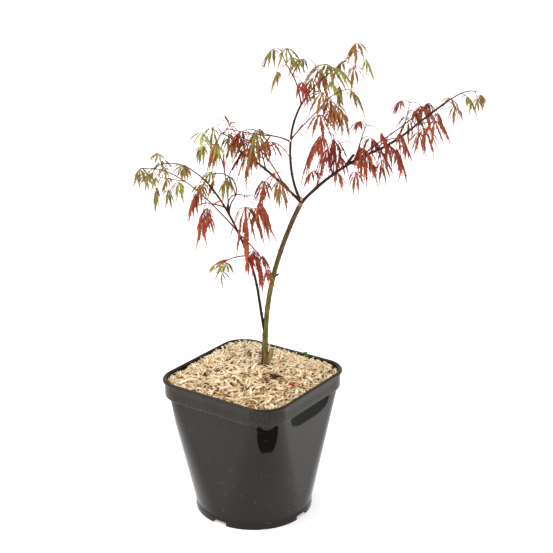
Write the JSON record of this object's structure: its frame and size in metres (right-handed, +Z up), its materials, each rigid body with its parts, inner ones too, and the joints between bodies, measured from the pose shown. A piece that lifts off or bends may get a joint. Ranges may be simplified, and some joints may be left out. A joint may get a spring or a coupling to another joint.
{
  "type": "potted japanese maple",
  "caption": "Young grafted Japanese maple with finely cut drooping red-bronze leaves, in a black square-topped nursery pot mulched with wood chips.",
  "frame": {"origin": "the middle of the pot's flat underside", "axes": "+Z up the plant; the pot's flat sides face +X, -X, +Y and -Y"},
  "size_m": [0.3768, 0.331, 0.6235],
  "materials": {
    "pot": "moulded black polypropylene, glossy with a little dust and scuffing",
    "mulch": "loose straw-coloured wood shavings over moist compost",
    "bark": "smooth olive-brown bark with fine corky lines and node rings",
    "young_bark": "smooth, slightly shiny purple-brown young bark",
    "leaf": "thin finely cut leaves, red-brown, bronze and olive-green, many lobes redder at the tip, soft satin"
  },
  "bodies": {
    "root": {"pot": "pot", "potting_soil": "mulch", "trunk": "bark", "left_stem": "young_bark", "right_bough": "young_bark", "centre_bough": "young_bark", "left_bough": "young_bark", "leaves_far_left_arch": "leaf", "leaves_far_left_low": "leaf", "leaves_left_green": "leaf", "leaves_up_left": "leaf", "leaves_hanging": "leaf", "leaves_left_red": "leaf", "leaves_lower_left": "leaf", "leaves_right_droop": "leaf", "leaves_left_tip": "leaf", "leaves_left_mid": "leaf", "leaves_left_under": "leaf", "leaves_left_back": "leaf", "leaves_centre_left": "leaf", "leaves_centre_right": "leaf", "leaves_top_left": "leaf", "leaves_top_right": "leaf", "leaves_right_near": "leaf", "leaves_right_front": "leaf", "leaves_right_under": "leaf", "leaves_right_stub_twig": "leaf", "leaves_right_mid": "leaf", "leaves_right_back": "leaf", "leaves_right_out": "leaf", "leaves_right_tip": "leaf"}
  },
  "joints": []
}
